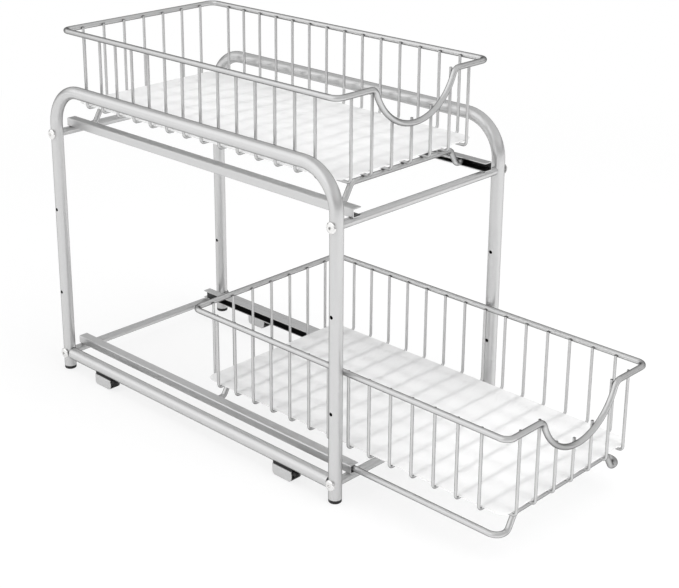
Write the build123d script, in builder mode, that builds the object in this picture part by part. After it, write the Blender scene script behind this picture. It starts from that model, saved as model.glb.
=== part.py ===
from build123d import *

import math
import os

# A two-tier wire organiser for a kitchen cabinet: a welded tube stand that carries four
# C-shaped channels, and two wire baskets whose base wires slide in them.  Millimetres.
# X runs across the stand, the baskets pull out towards -Y, and Z is up from the floor.

os.makedirs("parts", exist_ok=True)

# ---------------------------------------------------------------- driving dimensions

# stand
stand_height = 405.8
tube_diameter = 16.0
tube_wall = 1.2
top_bend_radius = 50.0
bottom_rail_height = 23.0
lower_crossbar_height = 23.8
upper_crossbar_drop = 70.4
crossbar_diameter = 10.3
crossbar_wall = 1.2
crossbar_plug_length = 22.0
weld_bite = 0.05

# holes, screws and feet
spare_hole_heights = (113.7, 231.4)
spare_hole_diameter = 4.6
screw_diameter = 6.0
screw_play = 0.1
screw_length = 30.0
screw_head_diameter = 14.0
screw_head_height = 2.8
foot_height = 4.6
foot_diameter = 15.8
foot_plug_length = 12.0
foot_plug_play = 0.1
foot_edge_round = 1.5

# channels and the nylon liners that the baskets run on
channel_wall = 1.0
channel_width = 12.8
channel_outer_round = 1.6
channel_front_overhang = 5.7
channel_rear_overhang = 3.7
liner_wall = 0.6
liner_play = 0.05
liner_front_setback = 1.0
liner_rear_setback = 7.0
slide_clearance = 0.3
slide_side_clearance = 1.35

# baskets
frame_wire_diameter = 7.0
mesh_wire_diameter = 3.5
basket_width = 255.0
basket_length = 484.0
basket_side_gap = 1.0
basket_end_inset = 10.3
basket_offset_back = 2.4
rim_above_slide = 125.0
mesh_depth = 97.1
rim_corner_radius = 10.5
scoop_depth = 50.5
scoop_radius = 70.0
scoop_lead_radius = 10.0
mesh_bend_radius = 5.0
mesh_tail = 1.9
scoop_tail = 4.5
cross_wire_count = 14
cross_wire_end_margin = 37.25
length_wire_count = 7
length_wire_side_margin = 27.9
base_side_inset = 13.5
base_end_inset = 17.4
base_corner_radius = 12.0
base_landing = 5.0
base_jog_run = 11.4
base_jog_radius = 7.0
lower_pull_out = 242.0

# translucent sheets on the basket floors
sheet_thickness = 1.0
sheet_side_margin = 4.75
sheet_end_margin = 2.75
sheet_corner_radius = 12.0
sheet_play = 0.05

# brackets that hold the bottom rails down on the cabinet floor
bracket_length = 32.0
bracket_width = 16.4
bracket_height = 14.4
bracket_wall = 1.2
bracket_above_floor = 0.8
bracket_corner_radius = 6.0
bracket_bend_radius = 1.6
bracket_screw_hole = 4.5
bracket_screw_access = 9.0
front_bracket_inset = 79.3
rear_bracket_inset = 82.8
pad_play = 0.1
pad_lift = 8.5
pad_nose_length = 6.3
pad_nose_diameter = 6.0
pad_nose_round = 1.5

# ---------------------------------------------------------------- derived places

tube_radius = tube_diameter / 2
frame_wire_radius = frame_wire_diameter / 2
mesh_wire_radius = mesh_wire_diameter / 2

# The stand stands round the baskets, and each basket's base wire lies inside its rim.
leg_x = basket_width / 2 + frame_wire_radius + basket_side_gap + tube_radius
leg_spacing_deep = basket_length + 2 * basket_end_inset
top_run_height = stand_height - tube_radius
upper_crossbar_height = stand_height - upper_crossbar_drop
base_spacing_across = basket_width - 2 * base_side_inset
base_length = basket_length - 2 * base_end_inset

# With the lower basket pulled out, the part's outline is centred on the origin.
basket_reach = basket_length / 2 + frame_wire_radius + lower_pull_out - basket_offset_back
stand_y = (basket_reach - leg_spacing_deep / 2 - tube_radius) / 2
front_leg_y = stand_y - leg_spacing_deep / 2
rear_leg_y = stand_y + leg_spacing_deep / 2
closed_basket_y = stand_y + basket_offset_back

channel_front_y = front_leg_y - channel_front_overhang
channel_rear_y = rear_leg_y + channel_rear_overhang
liner_inset = channel_wall + liner_play + liner_wall
channel_height = frame_wire_diameter + 2 * (slide_clearance + liner_inset)
channel_web_x = base_spacing_across / 2 + frame_wire_radius + slide_side_clearance + liner_inset
channel_lip_x = channel_web_x - channel_width

# The scoop in a rim's front is one big arc, with a small arc on each side that leads into it.
scoop_lead_angle = math.acos(1 - scoop_depth / (scoop_radius + scoop_lead_radius))
scoop_lead_x = (scoop_radius + scoop_lead_radius) * math.sin(scoop_lead_angle)
scoop_join_x = scoop_radius * math.sin(scoop_lead_angle)


def channel_base_above(crossbar_height):
    """Underside of a channel that is welded on top of a crossbar."""
    return crossbar_height + crossbar_diameter / 2 - weld_bite


def slide_height_above(crossbar_height):
    """Centre of a basket's base wire where it lies in its channels."""
    return channel_base_above(crossbar_height) + channel_height / 2


def save(piece, node_name):
    """Labels a finished piece and writes it to its own file."""
    piece.part.label = node_name
    export_step(piece.part, f"parts/{node_name}.step")


def save_pair(right_piece, left_name, right_name):
    """Writes a right-hand piece and its mirror image on the left."""
    with BuildPart() as left_piece:
        mirror(right_piece.part, about=Plane.YZ)
    save(left_piece, left_name)
    save(right_piece, right_name)


# ---------------------------------------------------------------- stand


def build_side_frames():
    """Inverted U of bent tube: two legs and the top run, with its screw and spare holes."""
    with BuildPart() as side_frame:
        with BuildLine(Plane.YZ.offset(leg_x)) as tube_path:
            FilletPolyline(
                (front_leg_y, foot_height),
                (front_leg_y, top_run_height),
                (rear_leg_y, top_run_height),
                (rear_leg_y, foot_height),
                radius=top_bend_radius,
            )
        with BuildSketch(Plane(origin=tube_path.line @ 0, z_dir=tube_path.line % 0)):
            Circle(tube_radius)
            Circle(tube_radius - tube_wall, mode=Mode.SUBTRACT)
        sweep()
        with BuildSketch(Plane.YZ.offset(leg_x)):
            for leg_y in (front_leg_y, rear_leg_y):
                for height in spare_hole_heights:
                    with Locations((leg_y, height)):
                        Circle(spare_hole_diameter / 2)
                for height in (lower_crossbar_height, upper_crossbar_height):
                    with Locations((leg_y, height)):
                        Circle(screw_diameter / 2 + screw_play)
        extrude(amount=tube_diameter, both=True, mode=Mode.SUBTRACT)
    save_pair(side_frame, "left_side_frame", "right_side_frame")


def build_bottom_rails():
    """Straight tube between the two legs of a side, cut square and welded to them."""
    half_length = leg_spacing_deep / 2 - tube_radius + weld_bite
    with BuildPart() as bottom_rail:
        with BuildSketch(Plane.XZ.offset(-stand_y)):
            with Locations((leg_x, bottom_rail_height)):
                Circle(tube_radius)
                Circle(tube_radius - tube_wall, mode=Mode.SUBTRACT)
        extrude(amount=half_length, both=True)
    save_pair(bottom_rail, "left_bottom_rail", "right_bottom_rail")


def build_crossbar(node_name, leg_y, height):
    """Tube across the stand, coped to the legs, with a threaded plug in each end."""
    plug_end_x = leg_x - tube_radius - crossbar_plug_length
    with BuildPart() as crossbar:
        with BuildSketch(Plane.YZ.offset(-leg_x)):
            with Locations((leg_y, height)):
                Circle(crossbar_diameter / 2)
                Circle(screw_diameter / 2, mode=Mode.SUBTRACT)
        extrude(amount=2 * leg_x)
        with BuildSketch(Plane.YZ.offset(-plug_end_x)):
            with Locations((leg_y, height)):
                Circle(crossbar_diameter / 2 - crossbar_wall)
        extrude(amount=2 * plug_end_x, mode=Mode.SUBTRACT)
        with Locations((-leg_x, leg_y, height), (leg_x, leg_y, height)):
            Cylinder(tube_radius, 2 * tube_diameter, mode=Mode.SUBTRACT)
    save(crossbar, node_name)


def build_crossbar_screws():
    """Domed screws that pull the legs against the crossbar ends."""
    with BuildPart() as screw:
        with BuildSketch(Plane.YZ.offset(leg_x + tube_radius)):
            Circle(screw_head_diameter / 2)
        extrude(amount=screw_head_height)
        fillet(screw.faces().sort_by(Axis.X)[-1].edges(), 0.8 * screw_head_height)
        with BuildSketch(Plane.YZ.offset(leg_x + tube_radius)):
            Circle(screw_diameter / 2)
        extrude(amount=-screw_length)
    with BuildPart() as crossbar_screws:
        for leg_y in (front_leg_y, rear_leg_y):
            for height in (lower_crossbar_height, upper_crossbar_height):
                with Locations((0, leg_y, height)):
                    add(screw.part)
        mirror(about=Plane.YZ)
    save(crossbar_screws, "crossbar_screws")


def build_foot_caps(leg_y, left_name, right_name):
    """Moulded cap with a plug that is pushed up into the open end of a leg."""
    with BuildPart() as foot_cap:
        with Locations((leg_x, leg_y, 0)):
            Cylinder(
                foot_diameter / 2, foot_height, align=(Align.CENTER, Align.CENTER, Align.MIN)
            )
        fillet(foot_cap.faces().sort_by(Axis.Z)[0].edges(), foot_edge_round)
        with Locations((leg_x, leg_y, foot_height)):
            Cylinder(
                tube_radius - tube_wall - foot_plug_play,
                foot_plug_length,
                align=(Align.CENTER, Align.CENTER, Align.MIN),
            )
    save_pair(foot_cap, left_name, right_name)


def build_channels(crossbar_height, left_name, right_name):
    """Bent sheet C that opens towards the middle of the stand."""
    base = channel_base_above(crossbar_height)
    middle = ((channel_lip_x + channel_web_x) / 2, base + channel_height / 2)
    with BuildPart() as channel:
        with BuildSketch(Plane.XZ.offset(-channel_rear_y)) as section:
            with Locations(middle):
                Rectangle(channel_width, channel_height)
            fillet(section.vertices().group_by(Axis.X)[-1], channel_outer_round)
            with BuildSketch(mode=Mode.PRIVATE) as hollow:
                with Locations(middle):
                    Rectangle(channel_width, channel_height - 2 * channel_wall)
                fillet(hollow.vertices().group_by(Axis.X)[-1], channel_outer_round - channel_wall)
            with Locations((-channel_wall, 0)):
                add(hollow.sketch, mode=Mode.SUBTRACT)
        extrude(amount=channel_rear_y - channel_front_y)
    save_pair(channel, left_name, right_name)


def build_slide_liners(crossbar_height, left_name, right_name):
    """Nylon lining of a channel: three thin walls, and a block behind the basket's base."""
    middle_z = slide_height_above(crossbar_height)
    liner_height = channel_height - 2 * (channel_wall + liner_play)
    web_x = channel_web_x - channel_wall - liner_play
    liner_width = web_x - channel_lip_x
    middle = ((channel_lip_x + web_x) / 2, middle_z)
    rear_y = channel_rear_y - liner_rear_setback
    stop_y = closed_basket_y + base_length / 2 + frame_wire_radius + slide_clearance
    with BuildPart() as slide_liner:
        with BuildSketch(Plane.XZ.offset(-rear_y)) as section:
            with Locations(middle):
                Rectangle(liner_width, liner_height)
            fillet(
                section.vertices().group_by(Axis.X)[-1], channel_outer_round - channel_wall
            )
        extrude(amount=rear_y - channel_front_y - liner_front_setback)
        with BuildSketch(Plane.XZ.offset(-stop_y)):
            with Locations((middle[0] - liner_wall, middle_z)):
                Rectangle(liner_width, liner_height - 2 * liner_wall)
        extrude(amount=stop_y - channel_front_y, mode=Mode.SUBTRACT)
    save_pair(slide_liner, left_name, right_name)


def build_floor_brackets(centre_y, left_name, right_name):
    """Steel cradle under a bottom rail, open at the top and screwed down through its base."""
    top = bracket_above_floor + bracket_height
    middle = (leg_x, bracket_above_floor + bracket_height / 2)
    with BuildPart() as floor_bracket:
        with BuildSketch(Plane.XZ.offset(-centre_y)) as section:
            with Locations(middle):
                Rectangle(bracket_width, bracket_height)
            fillet(section.vertices().group_by(Axis.Y)[0], bracket_bend_radius)
            with Locations((leg_x, middle[1] + bracket_wall)):
                Rectangle(bracket_width - 2 * bracket_wall, bracket_height, mode=Mode.SUBTRACT)
        extrude(amount=bracket_length / 2, both=True)
        with BuildSketch(Plane.YZ.offset(leg_x)) as side_view:
            with Locations((centre_y, middle[1])):
                Rectangle(bracket_length, bracket_height)
            fillet(side_view.vertices().group_by(Axis.Y)[0], bracket_corner_radius)
        extrude(amount=bracket_width, both=True, mode=Mode.INTERSECT)
        with Locations((leg_x, centre_y, top)):
            Cylinder(bracket_screw_hole / 2, 2 * bracket_height, mode=Mode.SUBTRACT)
    save_pair(floor_bracket, left_name, right_name)


def build_rail_pads(centre_y, left_name, right_name):
    """Rubber saddle between a bracket and its rail, with a round nose past the front."""
    bottom = bracket_above_floor + pad_lift
    top = bottom_rail_height - tube_radius / 2
    width = bracket_width - 2 * (bracket_wall + pad_play)
    nose_x = leg_x + (width - pad_nose_diameter) / 2
    nose_z = bracket_above_floor + bracket_height - pad_nose_diameter / 2
    nose_reach = bracket_length / 2 + pad_nose_length
    with BuildPart() as rail_pad:
        with BuildSketch(Plane.XZ.offset(-centre_y)):
            with Locations((leg_x, (bottom + top) / 2)):
                Rectangle(width, top - bottom)
            with Locations((leg_x, bottom_rail_height)):
                Circle(tube_radius, mode=Mode.SUBTRACT)
        extrude(amount=bracket_length / 2, both=True)
        with BuildSketch(Plane.XZ.offset(-centre_y)):
            with Locations((nose_x, nose_z)):
                Circle(pad_nose_diameter / 2)
        extrude(amount=nose_reach)
        fillet(rail_pad.faces().sort_by(Axis.Y)[0].edges(), pad_nose_round)
        with Locations((leg_x, centre_y, bottom)):
            Cylinder(bracket_screw_access / 2, 2 * top, mode=Mode.SUBTRACT)
    save_pair(rail_pad, left_name, right_name)


# ---------------------------------------------------------------- baskets


def scoop_height_at(x):
    """Height of the front rim's centre line over its flat ends, at x from the middle."""
    if abs(x) < scoop_join_x:
        return scoop_radius - scoop_depth - math.sqrt(scoop_radius**2 - x**2)
    if abs(x) < scoop_lead_x:
        return math.sqrt(scoop_lead_radius**2 - (scoop_lead_x - abs(x)) ** 2) - scoop_lead_radius
    return 0.0


def build_rim(node_name, rim_z, centre_y):
    """Heavy top wire: a rectangle with round corners, dipped into a scoop at the front."""
    front_y = centre_y - basket_length / 2
    rear_y = centre_y + basket_length / 2
    side_x = basket_width / 2
    bowl_z = rim_z + scoop_radius - scoop_depth
    lead_z = rim_z - scoop_lead_radius

    def bowl_point(angle):
        return (scoop_radius * math.sin(angle), front_y, bowl_z - scoop_radius * math.cos(angle))

    def lead_point(angle):
        return (
            scoop_lead_x - scoop_lead_radius * math.sin(angle),
            front_y,
            lead_z + scoop_lead_radius * math.cos(angle),
        )

    with BuildPart() as rim:
        with BuildLine() as half_path:
            ThreePointArc(
                bowl_point(0), bowl_point(scoop_lead_angle / 2), bowl_point(scoop_lead_angle)
            )
            ThreePointArc(
                lead_point(scoop_lead_angle), lead_point(scoop_lead_angle / 2), lead_point(0)
            )
            FilletPolyline(
                (scoop_lead_x, front_y, rim_z),
                (side_x, front_y, rim_z),
                (side_x, rear_y, rim_z),
                (0, rear_y, rim_z),
                radius=rim_corner_radius,
            )
        with BuildSketch(Plane(origin=half_path.wire() @ 0, z_dir=half_path.wire() % 0)):
            Circle(frame_wire_radius)
        sweep()
        mirror(about=Plane.YZ)
    save(rim, node_name)


def build_base_frame(node_name, slide_z, run_z, centre_y):
    """Heavy base wire: its sides slide in the channels, its ends rise under the mesh."""
    front_y = centre_y - base_length / 2
    rear_y = centre_y + base_length / 2
    side_x = base_spacing_across / 2
    jog_foot_x = side_x - base_corner_radius - base_landing
    jog_head_x = jog_foot_x - base_jog_run
    with BuildPart() as base_frame:
        with BuildLine() as half_path:
            FilletPolyline(
                (0, front_y, run_z),
                (jog_head_x, front_y, run_z),
                (jog_foot_x, front_y, slide_z),
                (side_x, front_y, slide_z),
                (side_x, rear_y, slide_z),
                (jog_foot_x, rear_y, slide_z),
                (jog_head_x, rear_y, run_z),
                (0, rear_y, run_z),
                radius=(
                    base_jog_radius,
                    base_jog_radius,
                    base_corner_radius,
                    base_corner_radius,
                    base_jog_radius,
                    base_jog_radius,
                ),
            )
        with BuildSketch(Plane(origin=half_path.wire() @ 0, z_dir=half_path.wire() % 0)):
            Circle(frame_wire_radius)
        sweep()
        mirror(about=Plane.YZ)
    save(base_frame, node_name)


def build_cross_wires(node_name, rim_z, floor_z, centre_y):
    """Thin U-shaped wires from one long side of the rim to the other."""
    side_x = basket_width / 2 - frame_wire_radius - mesh_wire_radius + weld_bite
    pitch = (basket_length - 2 * cross_wire_end_margin) / (cross_wire_count - 1)
    with BuildPart() as one_wire:
        with BuildLine(Plane.XZ) as wire_path:
            FilletPolyline(
                (-side_x, rim_z + mesh_tail),
                (-side_x, floor_z),
                (side_x, floor_z),
                (side_x, rim_z + mesh_tail),
                radius=mesh_bend_radius,
            )
        with BuildSketch(Plane(origin=wire_path.wire() @ 0, z_dir=wire_path.wire() % 0)):
            Circle(mesh_wire_radius)
        sweep()
    with BuildPart() as cross_wires:
        with Locations((0, centre_y, 0)):
            with GridLocations(pitch, pitch, 1, cross_wire_count):
                add(one_wire.part)
    save(cross_wires, node_name)


def build_length_wires(node_name, rim_z, floor_z, centre_y):
    """Thin U-shaped wires from front to back, cut off just above the rim they meet."""
    wall_reach = basket_length / 2 - frame_wire_radius - mesh_wire_radius + weld_bite
    pitch = (basket_width - 2 * length_wire_side_margin) / (length_wire_count - 1)
    with BuildPart() as length_wires:
        for wire in range(length_wire_count):
            x = (wire - (length_wire_count - 1) / 2) * pitch
            dip = scoop_height_at(x)
            tail = scoop_tail if dip < 0 else mesh_tail
            with BuildLine(Plane.YZ.offset(x)) as wire_path:
                FilletPolyline(
                    (centre_y - wall_reach, rim_z + dip + tail),
                    (centre_y - wall_reach, floor_z),
                    (centre_y + wall_reach, floor_z),
                    (centre_y + wall_reach, rim_z + mesh_tail),
                    radius=mesh_bend_radius,
                )
            with BuildSketch(Plane(origin=wire_path.wire() @ 0, z_dir=wire_path.wire() % 0)):
                Circle(mesh_wire_radius)
            sweep()
    save(length_wires, node_name)


def build_floor_sheet(node_name, sheet_z, centre_y):
    """Loose plastic sheet that keeps small things from dropping through the mesh."""
    with BuildPart() as floor_sheet:
        with BuildSketch(Plane.XY.offset(sheet_z)):
            with Locations((0, centre_y)):
                RectangleRounded(
                    basket_width - frame_wire_diameter - mesh_wire_diameter - 2 * sheet_side_margin,
                    basket_length - frame_wire_diameter - mesh_wire_diameter - 2 * sheet_end_margin,
                    sheet_corner_radius,
                )
        extrude(amount=sheet_thickness)
    save(floor_sheet, node_name)


def build_basket(tier, crossbar_height, pull_out):
    """All the pieces of one basket, lying in its channels and pulled out by pull_out."""
    centre_y = closed_basket_y - pull_out
    slide_z = slide_height_above(crossbar_height)
    rim_z = slide_z + rim_above_slide
    cross_z = rim_z - mesh_depth
    length_z = cross_z - mesh_wire_diameter + weld_bite
    run_z = length_z - mesh_wire_radius - frame_wire_radius + weld_bite
    build_rim(f"{tier}_rim", rim_z, centre_y)
    build_base_frame(f"{tier}_base_frame", slide_z, run_z, centre_y)
    build_cross_wires(f"{tier}_cross_wires", rim_z, cross_z, centre_y)
    build_length_wires(f"{tier}_length_wires", rim_z, length_z, centre_y)
    build_floor_sheet(f"{tier}_floor_sheet", cross_z + mesh_wire_radius + sheet_play, centre_y)


build_side_frames()
build_bottom_rails()
build_crossbar("lower_front_crossbar", front_leg_y, lower_crossbar_height)
build_crossbar("lower_rear_crossbar", rear_leg_y, lower_crossbar_height)
build_crossbar("upper_front_crossbar", front_leg_y, upper_crossbar_height)
build_crossbar("upper_rear_crossbar", rear_leg_y, upper_crossbar_height)
build_crossbar_screws()
build_foot_caps(front_leg_y, "front_left_foot_cap", "front_right_foot_cap")
build_foot_caps(rear_leg_y, "rear_left_foot_cap", "rear_right_foot_cap")
build_channels(lower_crossbar_height, "lower_left_channel", "lower_right_channel")
build_channels(upper_crossbar_height, "upper_left_channel", "upper_right_channel")
build_slide_liners(lower_crossbar_height, "lower_left_slide_liner", "lower_right_slide_liner")
build_slide_liners(upper_crossbar_height, "upper_left_slide_liner", "upper_right_slide_liner")
front_bracket_y = front_leg_y + front_bracket_inset
rear_bracket_y = rear_leg_y - rear_bracket_inset
build_floor_brackets(front_bracket_y, "front_left_floor_bracket", "front_right_floor_bracket")
build_floor_brackets(rear_bracket_y, "rear_left_floor_bracket", "rear_right_floor_bracket")
build_rail_pads(front_bracket_y, "front_left_rail_pad", "front_right_rail_pad")
build_rail_pads(rear_bracket_y, "rear_left_rail_pad", "rear_right_rail_pad")
build_basket("lower_basket", lower_crossbar_height, lower_pull_out)
build_basket("upper_basket", upper_crossbar_height, 0.0)
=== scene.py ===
# %% [markdown]
# A pull out cabinet basket: two wire baskets that slide in a tube stand.
#
# The tubes, bent wires, channels and small parts come ready made, at their real size, from the
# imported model. What is left for Blender is how they look: a satin silver powder coat on steel,
# black nylon in the channels, bright screws and the frosted sheets on the basket floors. The
# screws' heads, the wires' cut ends and the weld beads are modelled here too.

# %% Load the frame
import math

import bmesh
import bpy
from mathutils import Matrix, Vector


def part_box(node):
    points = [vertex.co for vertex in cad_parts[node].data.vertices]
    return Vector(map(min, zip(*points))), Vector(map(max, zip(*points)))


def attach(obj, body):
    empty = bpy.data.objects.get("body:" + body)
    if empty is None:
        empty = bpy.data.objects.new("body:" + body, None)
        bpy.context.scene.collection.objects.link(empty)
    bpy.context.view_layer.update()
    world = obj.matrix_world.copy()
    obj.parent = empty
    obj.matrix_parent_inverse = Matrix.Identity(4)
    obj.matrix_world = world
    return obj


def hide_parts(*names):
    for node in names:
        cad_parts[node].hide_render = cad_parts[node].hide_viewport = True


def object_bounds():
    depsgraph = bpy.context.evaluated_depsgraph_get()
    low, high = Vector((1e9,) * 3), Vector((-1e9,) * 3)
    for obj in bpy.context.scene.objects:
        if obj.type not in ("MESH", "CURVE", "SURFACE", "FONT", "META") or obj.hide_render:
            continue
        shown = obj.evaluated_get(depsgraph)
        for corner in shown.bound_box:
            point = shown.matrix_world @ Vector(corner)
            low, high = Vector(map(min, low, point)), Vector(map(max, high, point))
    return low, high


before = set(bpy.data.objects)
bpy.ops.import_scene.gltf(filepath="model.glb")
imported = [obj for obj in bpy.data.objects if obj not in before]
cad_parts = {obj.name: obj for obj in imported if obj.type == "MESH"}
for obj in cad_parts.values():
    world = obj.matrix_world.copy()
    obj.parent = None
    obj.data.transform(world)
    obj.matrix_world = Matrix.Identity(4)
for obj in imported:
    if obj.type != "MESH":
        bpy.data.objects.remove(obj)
cad_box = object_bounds()
print("model box, metres:", [round(v, 4) for corner in cad_box for v in corner])

# %% [markdown]
# Colours are written as they look on a screen, in sRGB hex, and Blender works in linear light, so
# one function turns them round. Materials are built from nodes, and one small function adds a
# node, sets what it is told and links its inputs.

# %% Colour and node helpers
MM = 0.001


def linear(hex_colour):
    """sRGB hex such as "#c8c8c8" to a linear RGBA tuple."""
    channels = [int(hex_colour[i : i + 2], 16) / 255 for i in (1, 3, 5)]
    return tuple(
        c / 12.92 if c <= 0.04045 else ((c + 0.055) / 1.055) ** 2.4 for c in channels
    ) + (1.0,)


def add_node(tree, kind, settings=None, values=None, links=None):
    """A new node: settings are its properties, values its sockets, links where they come from."""
    node = tree.nodes.new(kind)
    for name, value in (settings or {}).items():
        setattr(node, name, value)
    for socket, value in (values or {}).items():
        node.inputs[socket].default_value = value
    for socket, source in (links or {}).items():
        tree.links.new(source, node.inputs[socket])
    return node


def new_material(name):
    """An empty node material and its object coordinates, in metres."""
    material = bpy.data.materials.new(name)
    material.use_nodes = True
    tree = material.node_tree
    tree.nodes.clear()
    coordinates = add_node(tree, "ShaderNodeTexCoord").outputs["Object"]
    return material, tree, coordinates


print("helpers ready: #808080 in linear light is", round(linear("#808080")[0], 3))

# %% [markdown]
# No real surface is one flat colour. Each finish here varies a little in colour, in roughness and
# in height, and each of these follows a soft noise whose blotches have a real size in
# millimetres. One function lays the three patterns and gives them as links for a shader.

# %% An uneven skin


def uneven_skin(tree, coordinates, colour, roughness, height):
    """Links for a shader's colour, roughness and normal, each with a noise of its own."""
    colour_noise, roughness_noise, height_noise = (
        add_node(
            tree,
            "ShaderNodeTexNoise",
            values={"Scale": 1 / (look["size_mm"] * MM), "Detail": look["detail"]},
            links={"Vector": coordinates},
        ).outputs["Fac"]
        for look in (colour, roughness, height)
    )
    tinted = add_node(
        tree,
        "ShaderNodeMix",
        settings={"data_type": "RGBA"},
        values={"A": linear(colour["dark"]), "B": linear(colour["light"])},
        links={"Factor": colour_noise},
    ).outputs["Result"]
    worn = add_node(
        tree,
        "ShaderNodeMapRange",
        values={"To Min": roughness["low"], "To Max": roughness["high"]},
        links={"Value": roughness_noise},
    ).outputs["Result"]
    raised = add_node(
        tree,
        "ShaderNodeBump",
        values={"Strength": 1.0, "Distance": height["depth_mm"] * MM},
        links={"Height": height_noise},
    ).outputs["Normal"]
    return {"Base Color": tinted, "Roughness": worn, "Normal": raised}


# %% [markdown]
# Silver powder coat is fine aluminium flake in a clear polyester, baked on steel. It is less
# mirror-like than plating: the flakes make it metallic, but they lie at all angles, so the
# highlight is broad, and the paint flows out with a faint orange peel about 1.5 mm across. Real
# flakes are a few hundredths of a millimetre across, too fine to show, so they are drawn coarser.
#
# Where the surface turns away from the view, the base colour fades to a dark edge colour. That is
# painted shade, and it draws the thin dark lines along the edges of every tube and wire.

# %% Silver powder coat


def silver_powder_coat(name, dark, light, edge, painted_shade_start, painted_shade_end):
    """Flake paint from dark to light, with painted shade towards the edge colour where it turns
    away.
    """
    material, tree, coordinates = new_material(name)
    skin = uneven_skin(
        tree,
        coordinates,
        colour={"size_mm": 0.35, "detail": 1.0, "dark": dark, "light": light},
        roughness={"size_mm": 45.0, "detail": 2.0, "low": 0.28, "high": 0.35},
        height={"size_mm": 1.5, "detail": 2.0, "depth_mm": 0.008},
    )
    # Painted shade: the colour goes to the dark edge colour as the surface turns away from the
    # view.
    turned_away = add_node(
        tree, "ShaderNodeLayerWeight", values={"Blend": 0.5}
    ).outputs["Facing"]
    painted_edge_shade = add_node(
        tree,
        "ShaderNodeMapRange",
        settings={"interpolation_type": "SMOOTHSTEP"},
        values={"From Min": painted_shade_start, "From Max": painted_shade_end},
        links={"Value": turned_away},
    ).outputs["Result"]
    skin["Base Color"] = add_node(
        tree,
        "ShaderNodeMix",
        settings={"data_type": "RGBA"},
        values={"B": linear(edge)},
        links={"Factor": painted_edge_shade, "A": skin["Base Color"]},
    ).outputs["Result"]
    shader = add_node(
        tree,
        "ShaderNodeBsdfPrincipled",
        values={"Metallic": 0.8, "Coat Weight": 0.1, "Coat Roughness": 0.25},
        links=skin,
    ).outputs["BSDF"]
    add_node(tree, "ShaderNodeOutputMaterial", links={"Surface": shader})
    return material


# The edge colours below are painted shade for the turned-away edges of the tubes and wires.
tube_coat = silver_powder_coat(
    "silver_powder_coat_on_tube",
    dark="#c0c0c0",
    light="#d6d6d6",
    edge="#242424",
    painted_shade_start=0.5,
    painted_shade_end=1.0,
)
wire_coat = silver_powder_coat(
    "silver_powder_coat_on_wire",
    dark="#bcbcbc",
    light="#d6d6d6",
    edge="#141414",
    painted_shade_start=0.25,
    painted_shade_end=0.85,
)
print("made", tube_coat.name, "and", wire_coat.name)

# %% [markdown]
# The side frames' tube is coated outside only. Its spare holes show bare steel with hardly any
# light on it, and a mask colours all that lies deeper than the coat nearly black: the holes' walls
# and the tube's inside. That is bare steel with painted shade on it. The mask folds the four legs
# onto one by taking the size of x and of y, and it ends below the bends, where the tube leaves the
# leg's line.

# %% Bare steel in painted shade inside the legs
TUBE_RADIUS = 8.0 * MM
BEND_RADIUS = 50.0 * MM
COATED_DEPTH = 0.15 * MM


def darken_inside_legs(material, leg_x, middle_y, leg_reach, bare_radius, top):
    """Mixes bare steel in painted shade into a material, inside the four upright legs, up to a
    height.
    """
    tree = material.node_tree
    output = next(n for n in tree.nodes if n.type == "OUTPUT_MATERIAL")
    coat = output.inputs["Surface"].links[0].from_socket
    coordinates = next(n for n in tree.nodes if n.type == "TEX_COORD").outputs["Object"]
    place = add_node(tree, "ShaderNodeSeparateXYZ", links={"Vector": coordinates}).outputs
    from_leg = {}
    for axis, middle, reach in (("X", 0.0, leg_x), ("Y", middle_y, leg_reach)):
        from_leg[axis] = place[axis]
        for operation, values in (
            ("SUBTRACT", {1: middle}),
            ("ABSOLUTE", {}),
            ("SUBTRACT", {1: reach}),
        ):
            from_leg[axis] = add_node(
                tree,
                "ShaderNodeMath",
                settings={"operation": operation},
                values=values,
                links={0: from_leg[axis]},
            ).outputs["Value"]
    flat = add_node(tree, "ShaderNodeCombineXYZ", links=from_leg).outputs["Vector"]
    distance = add_node(
        tree, "ShaderNodeVectorMath", settings={"operation": "LENGTH"}, links={"Vector": flat}
    ).outputs["Value"]
    below_bend, below_coat = (
        add_node(
            tree,
            "ShaderNodeMath",
            settings={"operation": "LESS_THAN"},
            values={1: limit},
            links={0: measured},
        ).outputs["Value"]
        for measured, limit in ((place["Z"], top), (distance, bare_radius))
    )
    inside = add_node(
        tree,
        "ShaderNodeMath",
        settings={"operation": "MULTIPLY"},
        links={0: below_bend, 1: below_coat},
    ).outputs["Value"]
    steel_blotches = add_node(
        tree,
        "ShaderNodeTexNoise",
        values={"Scale": 1 / (3.0 * MM), "Detail": 3.0},
        links={"Vector": coordinates},
    ).outputs["Fac"]
    # Painted shade: the bare steel is coloured nearly black, as the inside of the tube gets little
    # light.
    bare_steel_in_painted_shade = add_node(
        tree,
        "ShaderNodeMix",
        settings={"data_type": "RGBA"},
        values={"A": linear("#161616"), "B": linear("#262626")},
        links={"Factor": steel_blotches},
    ).outputs["Result"]
    steel = add_node(
        tree,
        "ShaderNodeBsdfPrincipled",
        values={"Metallic": 0.6, "Roughness": 0.6},
        links={"Base Color": bare_steel_in_painted_shade},
    ).outputs["BSDF"]
    mixed = add_node(
        tree, "ShaderNodeMixShader", links={0: inside, 1: coat, 2: steel}
    ).outputs["Shader"]
    tree.links.new(mixed, output.inputs["Surface"])


side_low, side_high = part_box("left_side_frame")
leg_x = abs(side_low.x + side_high.x) / 2
legs_middle_y = (side_low.y + side_high.y) / 2
darken_inside_legs(
    tube_coat,
    leg_x=leg_x,
    middle_y=legs_middle_y,
    leg_reach=(side_high.y - side_low.y) / 2 - TUBE_RADIUS,
    bare_radius=TUBE_RADIUS - COATED_DEPTH,
    top=side_high.z - TUBE_RADIUS - BEND_RADIUS,
)
print("legs stand", round(leg_x / MM, 1), "mm left and right of the middle")

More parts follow.
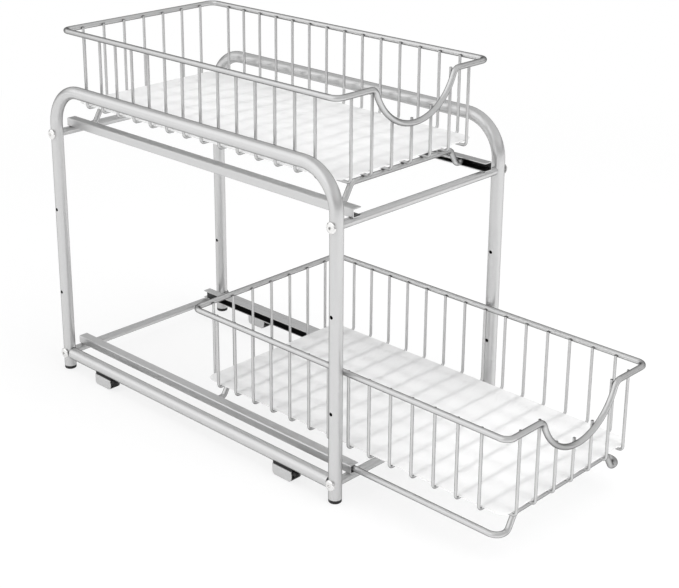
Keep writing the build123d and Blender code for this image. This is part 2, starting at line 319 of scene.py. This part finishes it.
# %% [markdown]
# Where wires are resistance welded, or a channel is tack welded to a crossbar, the metal squeezes
# out into a bead. The beads are coloured dark grey: painted shade for the dark crevices there.

# %% Painted shade on welds


def weld_shade_material(name):
    """Dark grey, painted shade for the weld beads and the wires' cut ends."""
    material, tree, coordinates = new_material(name)
    skin = uneven_skin(
        tree,
        coordinates,
        colour={"size_mm": 0.9, "detail": 3.0, "dark": "#4e4e4e", "light": "#7c7c7c"},
        roughness={"size_mm": 0.9, "detail": 3.0, "low": 0.45, "high": 0.65},
        height={"size_mm": 0.9, "detail": 3.0, "depth_mm": 0.05},
    )
    shader = add_node(
        tree, "ShaderNodeBsdfPrincipled", values={"Metallic": 0.7}, links=skin
    ).outputs["BSDF"]
    add_node(tree, "ShaderNodeOutputMaterial", links={"Surface": shader})
    return material


# Dark grey painted shade for the welds and the wires' cut ends.
painted_weld_shade = weld_shade_material("painted_shade_on_weld")
print("made", painted_weld_shade.name)

# %% [markdown]
# The screws are nickel plated: a real mirror-like metal with a faintly warm tint. In the plating
# drum they knock against each other, which leaves soft scuffs that dull the shine in places.

# %% Nickel plate


def nickel_plate(name):
    """Bright plating with scuffs."""
    material, tree, coordinates = new_material(name)
    skin = uneven_skin(
        tree,
        coordinates,
        colour={"size_mm": 0.8, "detail": 4.0, "dark": "#e2e1e0", "light": "#f2f2f1"},
        roughness={"size_mm": 0.8, "detail": 4.0, "low": 0.14, "high": 0.3},
        height={"size_mm": 0.8, "detail": 4.0, "depth_mm": 0.004},
    )
    shader = add_node(
        tree, "ShaderNodeBsdfPrincipled", values={"Metallic": 1.0}, links=skin
    ).outputs["BSDF"]
    add_node(tree, "ShaderNodeOutputMaterial", links={"Surface": shader})
    return material


screw_plate = nickel_plate("nickel_plate")
print("made", screw_plate.name)

# %% [markdown]
# Black plastics differ in their skin. Extruded nylon in the channels is smooth and a little
# shiny, moulded polyethylene caps have a spark-eroded grain, and rubber is nearly matt. That
# grain is a few hundredths of a millimetre wide, too fine to show, and is drawn about ten times
# as coarse. Dust lies over all of them in soft patches.

# %% Black plastics and rubber


def black_polymer(name, grain_mm, grain_depth_mm, rough_low, rough_high):
    """A black plastic or rubber with a moulded grain and a little dust."""
    material, tree, coordinates = new_material(name)
    skin = uneven_skin(
        tree,
        coordinates,
        colour={"size_mm": 12.0, "detail": 4.0, "dark": "#0b0b0b", "light": "#161617"},
        roughness={"size_mm": 12.0, "detail": 4.0, "low": rough_low, "high": rough_high},
        height={"size_mm": grain_mm, "detail": 3.0, "depth_mm": grain_depth_mm},
    )
    shader = add_node(
        tree, "ShaderNodeBsdfPrincipled", values={"IOR": 1.5}, links=skin
    ).outputs["BSDF"]
    add_node(tree, "ShaderNodeOutputMaterial", links={"Surface": shader})
    return material


liner_nylon = black_polymer(
    "extruded_black_nylon", grain_mm=0.6, grain_depth_mm=0.003, rough_low=0.3, rough_high=0.4
)
cap_polyethylene = black_polymer(
    "moulded_black_polyethylene",
    grain_mm=0.5,
    grain_depth_mm=0.02,
    rough_low=0.45,
    rough_high=0.6,
)
pad_rubber = black_polymer(
    "black_rubber", grain_mm=0.4, grain_depth_mm=0.02, rough_low=0.6, rough_high=0.75
)
print("made", liner_nylon.name, "and", cap_polyethylene.name, "and", pad_rubber.name)

# %% [markdown]
# The sheets on the basket floors are frosted polypropylene, about a millimetre thick. The frost
# is a fine emboss on both faces: most light that goes through scatters, so the mesh under the
# sheet shows only as faint bars and the sheet itself reads as white.

# %% Frosted polypropylene
SCATTERED_SHARE = 0.6
CLEAR_SHARE = 0.2


def frosted_polypropylene(name):
    """A white plastic that scatters most of the light it lets through."""
    material, tree, coordinates = new_material(name)
    skin = uneven_skin(
        tree,
        coordinates,
        colour={"size_mm": 60.0, "detail": 2.0, "dark": "#f8f8f8", "light": "#fdfdfd"},
        roughness={"size_mm": 60.0, "detail": 2.0, "low": 0.5, "high": 0.6},
        height={"size_mm": 0.7, "detail": 2.0, "depth_mm": 0.02},
    )
    body = add_node(
        tree, "ShaderNodeBsdfPrincipled", values={"IOR": 1.49}, links=skin
    ).outputs["BSDF"]
    through = add_node(
        tree, "ShaderNodeBsdfTranslucent", values={"Color": linear("#fcfcfc")}
    ).outputs["BSDF"]
    clear = add_node(
        tree, "ShaderNodeBsdfTransparent", values={"Color": linear("#ffffff")}
    ).outputs["BSDF"]
    frosted = body
    for other, share in ((through, SCATTERED_SHARE), (clear, CLEAR_SHARE)):
        frosted = add_node(
            tree, "ShaderNodeMixShader", values={"Fac": share}, links={1: frosted, 2: other}
        ).outputs["Shader"]
    add_node(tree, "ShaderNodeOutputMaterial", links={"Surface": frosted})
    return material


sheet_frost = frosted_polypropylene("frosted_polypropylene")
print("made", sheet_frost.name)

# %% [markdown]
# Each node of the model gets the finish of what it is made of. The node names say that, so a
# list of name endings and finishes is enough.

# %% Dress the nodes
finishes = {
    "side_frame": tube_coat,
    "bottom_rail": tube_coat,
    "crossbar": tube_coat,
    "channel": tube_coat,
    "floor_bracket": tube_coat,
    "crossbar_screws": screw_plate,
    "slide_liner": liner_nylon,
    "foot_cap": cap_polyethylene,
    "rail_pad": pad_rubber,
    "rim": wire_coat,
    "base_frame": wire_coat,
    "cross_wires": wire_coat,
    "length_wires": wire_coat,
    "floor_sheet": sheet_frost,
}
for node_name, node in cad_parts.items():
    ending = next(e for e in finishes if node_name.endswith(e))
    node.data.materials.clear()
    node.data.materials.append(finishes[ending])
print(len(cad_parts), "nodes dressed")

# %% [markdown]
# Small parts that repeat are modelled once, as a template, and copied to their places. Each copy
# goes straight into one mesh, so the piece stays a single object at the origin.

# %% Copies of a template


def copies_of(template, name, places, material, body):
    """One piece with a copy of the template at each place, which is a matrix."""
    maker = bmesh.new()
    for place in places:
        known = len(maker.verts)
        maker.from_mesh(template)
        maker.verts.ensure_lookup_table()
        bmesh.ops.transform(maker, matrix=place, verts=maker.verts[known:])
    mesh = bpy.data.meshes.new(name)
    maker.to_mesh(mesh)
    maker.free()
    mesh.materials.append(material)
    piece = bpy.data.objects.new(name, mesh)
    bpy.context.scene.collection.objects.link(piece)
    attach(piece, body)
    print(name, len(places), "copies,", len(mesh.polygons), "faces")
    return piece


# %% [markdown]
# The screws through the legs are flanged button heads: a low dome with a hexagon socket. The
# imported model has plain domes, so these screws stand in for them. A dome's profile is spun about
# the screw's line. The socket is a hexagon whose sides are divided so that it has as many points
# as the dome's mouth, bridged to it and extruded down.

# %% Button head screws
HEAD_RADIUS = 7.0 * MM
HEAD_HEIGHT = 2.8 * MM
FLANGE_EDGE = 0.5 * MM
MOUTH_RADIUS = 2.6 * MM
SOCKET_FLATS = 4.0 * MM
SOCKET_DEPTH = 1.7 * MM
SHANK_RADIUS = 3.0 * MM
SHANK_LENGTH = 29.0 * MM
ROUND_STEPS = 48
DOME_DEGREES = range(0, 91, 10)
SCREW_CREASE = math.radians(35)
SAME_POINT = 0.001 * MM


def button_head_screw():
    """A screw along X, its seat at x = 0 and its dome towards +X."""
    maker = bmesh.new()
    dome = [
        (
            FLANGE_EDGE + (HEAD_HEIGHT - FLANGE_EDGE) * math.sin(turn),
            MOUTH_RADIUS + (HEAD_RADIUS - MOUTH_RADIUS) * math.cos(turn),
        )
        for turn in map(math.radians, DOME_DEGREES)
    ]
    profile = [(-SHANK_LENGTH, SHANK_RADIUS), (0, SHANK_RADIUS), (0, HEAD_RADIUS)] + dome
    points = [maker.verts.new((along, radius, 0)) for along, radius in profile]
    edges = [maker.edges.new(pair) for pair in zip(points, points[1:])]
    bmesh.ops.spin(
        maker,
        geom=points + edges,
        cent=(0, 0, 0),
        axis=(1, 0, 0),
        angle=math.tau,
        steps=ROUND_STEPS,
        use_merge=True,
    )
    rims = [edge for edge in maker.edges if edge.is_boundary]
    mouth = [edge for edge in rims if edge.verts[0].co.x > 0]
    bmesh.ops.edgeloop_fill(maker, edges=[edge for edge in rims if edge not in mouth])
    hexagon = bmesh.ops.create_circle(
        maker,
        segments=6,
        radius=SOCKET_FLATS / 2 / math.cos(math.pi / 6),
        matrix=Matrix.Translation((HEAD_HEIGHT, 0, 0)) @ Matrix.Rotation(math.pi / 2, 4, "Y"),
    )["verts"]
    sides = {edge for point in hexagon for edge in point.link_edges}
    bmesh.ops.subdivide_edges(maker, edges=list(sides), cuts=ROUND_STEPS // 6 - 1)
    sides = [
        edge
        for edge in maker.edges
        if edge.is_wire and edge.verts[0].co.x > 0 and edge.verts[1].co.x > 0
    ]
    bmesh.ops.bridge_loops(maker, edges=mouth + sides)
    walls = bmesh.ops.extrude_edge_only(maker, edges=sides)["geom"]
    floor_points = [part for part in walls if isinstance(part, bmesh.types.BMVert)]
    bmesh.ops.translate(maker, verts=floor_points, vec=(-SOCKET_DEPTH, 0, 0))
    floor_edges = [part for part in walls if isinstance(part, bmesh.types.BMEdge)]
    floor_edges = [edge for edge in floor_edges if edge.is_boundary]
    bmesh.ops.edgeloop_fill(maker, edges=floor_edges)
    bmesh.ops.remove_doubles(maker, verts=maker.verts, dist=SAME_POINT)
    bmesh.ops.recalc_face_normals(maker, faces=maker.faces)
    for face in maker.faces:
        face.smooth = True
    for edge in maker.edges:
        edge.smooth = edge.calc_face_angle(0) < SCREW_CREASE
    template = bpy.data.meshes.new("button_head_screw")
    maker.to_mesh(template)
    open_edges = sum(1 for edge in maker.edges if not edge.is_manifold)
    print("one screw:", len(maker.faces), "faces,", open_edges, "open edges")
    maker.free()
    return template


# %% [markdown]
# There are four screws on each side, where the plain domes of the model stand. No two are ever
# tightened to the same angle, so each socket is turned on from the one before.

# %% Screws in their places
NEXT_SOCKET_TURN = 0.37

heads_low, heads_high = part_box("crossbar_screws")
screw_places = []
for side, turned in ((1, 0.0), (-1, math.pi)):
    for y in (heads_low.y + HEAD_RADIUS, heads_high.y - HEAD_RADIUS):
        for z in (heads_low.z + HEAD_RADIUS, heads_high.z - HEAD_RADIUS):
            screw_places.append(
                Matrix.Translation((side * (heads_high.x - HEAD_HEIGHT), y, z))
                @ Matrix.Rotation(turned, 4, "Z")
                @ Matrix.Rotation(NEXT_SOCKET_TURN * len(screw_places), 4, "X")
            )
screws = copies_of(
    button_head_screw(),
    "button_head_screws",
    screw_places,
    screw_plate,
    "stand",
)
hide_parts("crossbar_screws")

# %% [markdown]
# The mesh wires are sheared to length and end just over the middle of the rim. The imported ones
# stand a little higher, so a merged copy of them is cut off level by a plane and closed. The
# shears leave a small round on each end. The flat cut ends that face up are coloured dark grey,
# as painted shade.

# %% Trimmed mesh wires
FRAME_WIRE_RADIUS = 3.5 * MM
END_ABOVE_RIM = 0.6 * MM
END_ROUND = 0.35 * MM
CUT_CORNER = math.radians(60)
SEAM_GAP = 0.002 * MM
LOOKS_UP = 0.9


def trimmed_wires(node_name, basket):
    """A piece that stands for one layer of a basket's mesh wires."""
    rim_low, rim_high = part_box(basket + "_rim")
    top = rim_high.z - FRAME_WIRE_RADIUS + END_ABOVE_RIM
    maker = bmesh.new()
    maker.from_mesh(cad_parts[node_name].data)
    bmesh.ops.remove_doubles(maker, verts=maker.verts, dist=SEAM_GAP)
    bmesh.ops.bisect_plane(
        maker,
        geom=maker.verts[:] + maker.edges[:] + maker.faces[:],
        dist=SAME_POINT,
        plane_co=(0, 0, top),
        plane_no=(0, 0, 1),
        clear_outer=True,
    )
    open_edges = [edge for edge in maker.edges if edge.is_boundary]
    bmesh.ops.holes_fill(maker, edges=open_edges, sides=0)
    bmesh.ops.bevel(
        maker,
        geom=[edge for edge in maker.edges if edge.calc_face_angle(0) > CUT_CORNER],
        offset=END_ROUND,
        segments=2,
        profile=0.5,
        affect="EDGES",
        material=-1,
    )
    # Up-facing cut ends take the second material: dark grey painted shade.
    for face in maker.faces:
        cut = face.normal.z > LOOKS_UP and face.calc_center_median().z > rim_low.z
        face.smooth = not cut
        face.material_index = int(cut)
    still_open = sum(1 for edge in maker.edges if not edge.is_manifold)
    mesh = bpy.data.meshes.new(node_name + "_trimmed")
    maker.to_mesh(mesh)
    maker.free()
    mesh.materials.append(wire_coat)
    mesh.materials.append(painted_weld_shade)
    piece = bpy.data.objects.new(node_name + "_trimmed", mesh)
    bpy.context.scene.collection.objects.link(piece)
    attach(piece, basket)
    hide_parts(node_name)
    print(piece.name, len(open_edges), "cut edges,", still_open, "open after closing")


for basket in ("upper_basket", "lower_basket"):
    trimmed_wires(basket + "_cross_wires", basket)
    trimmed_wires(basket + "_length_wires", basket)

# %% [markdown]
# Where two wires were welded the metal was squeezed out into a small uneven bead. A bead is a
# sphere of a few dozen faces, made lumpy, and then pressed flat across the contact by its place's
# scale.

# %% One weld bead
LUMPS = 0.1


def weld_bead():
    """A lumpy sphere of radius 1."""
    maker = bmesh.new()
    bmesh.ops.create_uvsphere(maker, u_segments=10, v_segments=6, radius=1.0)
    for point in maker.verts:
        point.co *= 1 + LUMPS * math.sin(3 * point.co.x + 5 * point.co.y + 2 * point.co.z)
    for face in maker.faces:
        face.smooth = True
    template = bpy.data.meshes.new("weld_bead")
    maker.to_mesh(template)
    maker.free()
    return template


def bead_at(place, half_sizes_mm):
    """A matrix that brings a bead to a place, with its half sizes along x, y and z."""
    return Matrix.Translation(place) @ Matrix.Diagonal((*(s * MM for s in half_sizes_mm), 1))


bead = weld_bead()
print("one weld bead:", len(bead.polygons), "faces")

# %% [markdown]
# In a basket the beads are where the mesh wires meet the rim, the base wire and each other. The
# welds' places follow from the wires' boxes and their number, as the wires are evenly spaced. In
# the scoop of the front the lengthwise wires end lower, so there the bead hangs from the top of
# the wire.

# %% Weld beads in the baskets
WIRE_RADIUS = 1.75 * MM
CROSS_WIRES = 14
LENGTH_WIRES = 7
NEAR_A_WIRE = 2 * MM
SCOOP_TAIL = 4.5 * MM
SCOOP_DIP = 0.1 * MM
BASE_BEND_REACH = 30 * MM
BEAD_BELOW_RIM = 0.5 * MM
SIDE_BEAD = (0.9, 2.3, 1.4)
END_BEAD = (2.3, 0.9, 1.4)
CROSSING_BEAD = (2.2, 2.2, 0.8)
BASE_BEAD = (2.3, 2.3, 0.9)


def evenly(first, last, count):
    """Places from first to last, evenly spaced."""
    return [first + (last - first) * step / (count - 1) for step in range(count)]


def basket_bead_places(basket):
    """Every weld of a basket, from the boxes of its wires."""
    rim_low, rim_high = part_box(basket + "_rim")
    cross_low, cross_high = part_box(basket + "_cross_wires")
    length_low, length_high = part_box(basket + "_length_wires")
    base_low, base_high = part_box(basket + "_base_frame")
    rows = evenly(cross_low.y + WIRE_RADIUS, cross_high.y - WIRE_RADIUS, CROSS_WIRES)
    columns = evenly(length_low.x + WIRE_RADIUS, length_high.x - WIRE_RADIUS, LENGTH_WIRES)
    rim_z = rim_high.z - FRAME_WIRE_RADIUS - BEAD_BELOW_RIM
    crossing_z = length_low.z + 2 * WIRE_RADIUS
    inner_x = rim_high.x - 2 * FRAME_WIRE_RADIUS
    inner_front = rim_low.y + 2 * FRAME_WIRE_RADIUS
    inner_rear = rim_high.y - 2 * FRAME_WIRE_RADIUS
    wire_points = [point.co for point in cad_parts[basket + "_length_wires"].data.vertices]
    places = []
    for y in rows:
        for x in (-inner_x, inner_x):
            places.append(bead_at((x, y, rim_z), SIDE_BEAD))
    for x in columns:
        wire_top = max(
            point.z
            for point in wire_points
            if abs(point.x - x) < NEAR_A_WIRE and point.y < inner_front + 2 * WIRE_RADIUS
        )
        front_z = wire_top - SCOOP_TAIL if wire_top < cross_high.z - SCOOP_DIP else rim_z
        places.append(bead_at((x, inner_front, front_z), END_BEAD))
        places.append(bead_at((x, inner_rear, rim_z), END_BEAD))
        for y in rows:
            places.append(bead_at((x, y, crossing_z), CROSSING_BEAD))
        if abs(x) < base_high.x - BASE_BEND_REACH:
            for y in (base_low.y + FRAME_WIRE_RADIUS, base_high.y - FRAME_WIRE_RADIUS):
                places.append(bead_at((x, y, length_low.z), BASE_BEAD))
    return places


for basket in ("upper_basket", "lower_basket"):
    copies_of(
        bead,
        basket + "_weld_beads",
        basket_bead_places(basket),
        painted_weld_shade,
        basket,
    )

# %% [markdown]
# On the stand, each channel is tacked to its two crossbars along both flanks of the bar, and each
# bottom rail to the backs of its legs, above and below.

# %% Tack welds on the stand
RAIL_WALL = 1.2 * MM
FLANK = 2.6 * MM
TACK_BELOW_CHANNEL = 0.5 * MM
CHANNEL_TACK = (4.6, 1.5, 0.9)
RAIL_TACK = (3.4, 1.3, 1.2)


def stand_bead_places():
    """Every tack weld of the stand, from the boxes of its channels, crossbars and rails."""
    places = []
    for tier in ("upper", "lower"):
        for side in ("left", "right"):
            channel_low, channel_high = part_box(f"{tier}_{side}_channel")
            channel_x = (channel_low.x + channel_high.x) / 2
            for end in ("front", "rear"):
                bar_low, bar_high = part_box(f"{tier}_{end}_crossbar")
                for flank in (-FLANK, FLANK):
                    y = (bar_low.y + bar_high.y) / 2 + flank
                    contact = (channel_x, y, channel_low.z - TACK_BELOW_CHANNEL)
                    places.append(bead_at(contact, CHANNEL_TACK))
    for side in ("left", "right"):
        rail_low, rail_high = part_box(side + "_bottom_rail")
        rail_x = (rail_low.x + rail_high.x) / 2
        for y in (rail_low.y, rail_high.y):
            for z in (rail_low.z + RAIL_WALL / 2, rail_high.z - RAIL_WALL / 2):
                places.append(bead_at((rail_x, y, z), RAIL_TACK))
    return places


copies_of(
    bead, "stand_tack_welds", stand_bead_places(), painted_weld_shade, "stand"
)

# %% [markdown]
# The photograph is a studio picture on white. A large pale floor catches the soft shadows near
# the object. Most of what the camera sees of it is a light of its own, which lifts it to the
# white of the picture, and all of it further off. The metal mirrors some of that white.

# %% Floor
FLOOR_HALF_SIZE = 14.0
SHADOWS_END = 1.8
PLAIN_WHITE = {"From Min": 0.6, "From Max": SHADOWS_END, "To Min": 0.78, "To Max": 1.0}
MIRRORED_WHITE = 0.3

floor_mesh = bpy.data.meshes.new("studio_floor")
floor_maker = bmesh.new()
bmesh.ops.create_grid(floor_maker, x_segments=1, y_segments=1, size=FLOOR_HALF_SIZE)
floor_maker.to_mesh(floor_mesh)
floor_maker.free()
floor = bpy.data.objects.new("studio_floor", floor_mesh)
bpy.context.scene.collection.objects.link(floor)

floor_paint, floor_tree, floor_coordinates = new_material("studio_floor_paint")
floor_ray = add_node(floor_tree, "ShaderNodeLightPath").outputs
floor_diffuse = add_node(
    floor_tree, "ShaderNodeBsdfDiffuse", values={"Color": linear("#efefef")}
).outputs["BSDF"]
floor_white = add_node(
    floor_tree, "ShaderNodeEmission", values={"Color": linear("#ffffff"), "Strength": 1.0}
).outputs["Emission"]
mirrored_share = add_node(
    floor_tree,
    "ShaderNodeMath",
    settings={"operation": "MULTIPLY_ADD"},
    values={1: MIRRORED_WHITE},
    links={0: floor_ray["Is Glossy Ray"], 2: floor_ray["Is Transmission Ray"]},
).outputs["Value"]
from_middle = add_node(
    floor_tree,
    "ShaderNodeVectorMath",
    settings={"operation": "LENGTH"},
    links={"Vector": floor_coordinates},
).outputs["Value"]
camera_share = add_node(
    floor_tree,
    "ShaderNodeMapRange",
    settings={"interpolation_type": "SMOOTHSTEP"},
    values=PLAIN_WHITE,
    links={"Value": from_middle},
).outputs["Result"]
white_share = add_node(
    floor_tree,
    "ShaderNodeMath",
    settings={"operation": "MULTIPLY_ADD"},
    links={0: floor_ray["Is Camera Ray"], 1: camera_share, 2: mirrored_share},
).outputs["Value"]
floor_look = add_node(
    floor_tree,
    "ShaderNodeMixShader",
    links={0: white_share, 1: floor_diffuse, 2: floor_white},
).outputs["Shader"]
add_node(floor_tree, "ShaderNodeOutputMaterial", links={"Surface": floor_look})
floor_mesh.materials.append(floor_paint)
print("floor of", 2 * FLOOR_HALF_SIZE, "m, plain white from", SHADOWS_END, "m off")

# %% [markdown]
# Bright silver parts look like what surrounds them. The room is white along the horizon and
# falls to grey towards the ceiling, so that faces that look up are darker than the sides, as in
# the picture. What the metal mirrors is darker still near the horizon, like the dark walls of a
# studio, and that gives the tubes and wires their grey flanks.

# %% Room
CEILING_SHADE = {"From Min": 0.2, "From Max": 0.6, "To Min": 1.0, "To Max": 0.55}
WALL_SHADE = {"From Min": 0.12, "From Max": 0.34, "To Min": 0.25, "To Max": 0.8}

world = bpy.data.worlds.new("studio_room")
world.use_nodes = True
bpy.context.scene.world = world
room_tree = world.node_tree
room_tree.nodes.clear()
direction = add_node(room_tree, "ShaderNodeTexCoord").outputs["Generated"]
upward = add_node(
    room_tree, "ShaderNodeSeparateXYZ", links={"Vector": direction}
).outputs["Z"]
ceiling, walls = (
    add_node(
        room_tree,
        "ShaderNodeMapRange",
        settings={"interpolation_type": "SMOOTHSTEP"},
        values=shade,
        links={"Value": upward},
    ).outputs["Result"]
    for shade in (CEILING_SHADE, WALL_SHADE)
)
mirrored_room = add_node(
    room_tree,
    "ShaderNodeMath",
    settings={"operation": "MINIMUM"},
    links={0: ceiling, 1: walls},
).outputs["Value"]
room_ray = add_node(room_tree, "ShaderNodeLightPath").outputs
room_strength = add_node(
    room_tree,
    "ShaderNodeMix",
    settings={"data_type": "FLOAT"},
    links={"Factor": room_ray["Is Glossy Ray"], "A": ceiling, "B": mirrored_room},
).outputs["Result"]
room = add_node(
    room_tree,
    "ShaderNodeBackground",
    values={"Color": linear("#ffffff")},
    links={"Strength": room_strength},
).outputs["Background"]
add_node(room_tree, "ShaderNodeOutputWorld", links={"Surface": room})
print("room light of", len(room_tree.nodes), "nodes")

# %% [markdown]
# A large soft box on the left gives the broad light on the outer sides. A second one over the
# top lights the sheets and the floor, and a third one in front fills the shade. These two aren't
# mirrored, or every top and front would shine.

# %% Soft boxes
cad_low, cad_high = cad_box
object_middle = (cad_low + cad_high) / 2


def soft_box(name, place, watts, size, mirrored):
    """A square area lamp at place, aimed at the middle of the object."""
    lamp = bpy.data.lights.new(name, "AREA")
    lamp.energy = watts
    lamp.shape = "SQUARE"
    lamp.size = size
    holder = bpy.data.objects.new(name, lamp)
    holder.location = place
    holder.rotation_mode = "QUATERNION"
    holder.rotation_quaternion = (object_middle - Vector(place)).to_track_quat("-Z", "Y")
    holder.visible_glossy = mirrored
    bpy.context.scene.collection.objects.link(holder)
    print(name, watts, "W,", size, "m square")


soft_box("left_soft_box", place=(-1.8, 0.8, 1.25), watts=37.0, size=4.0, mirrored=True)
soft_box("top_soft_box", place=(0.2, -0.7, 2.4), watts=35.0, size=2.2, mirrored=False)
soft_box("front_soft_box", place=(0.5, -2.2, 1.3), watts=20.0, size=1.6, mirrored=False)

# %% [markdown]
# The camera looks through a long lens from the front left, a little above. The picture was
# cropped off centre. A small lens shift repeats part of that, and the camera's place and turn
# make up for the rest.

# %% Camera
PHOTO_WIDTH = 679
FOCAL_PIXELS = 1447.72
SENSOR_MM = 36.0
CAMERA_FROM_STAND = Vector((-1.19442, -1.25882, 0.86622))
CAMERA_TILT = math.radians(71.070)
CAMERA_TURN = math.radians(-45.249)
SHIFT = (0.042, -0.14)

lens = bpy.data.cameras.new("camera")
lens.sensor_width = SENSOR_MM
lens.lens = FOCAL_PIXELS / PHOTO_WIDTH * SENSOR_MM
lens.shift_x, lens.shift_y = SHIFT
lens.clip_start, lens.clip_end = 0.05, 50.0
camera = bpy.data.objects.new("camera", lens)
camera.location = Vector((0.0, legs_middle_y, 0.0)) + CAMERA_FROM_STAND
camera.rotation_euler = (CAMERA_TILT, 0.0, CAMERA_TURN)
bpy.context.scene.collection.objects.link(camera)
bpy.context.scene.camera = camera
bpy.context.scene.view_settings.view_transform = "Standard"
print("camera with a lens of", round(lens.lens, 1), "mm")
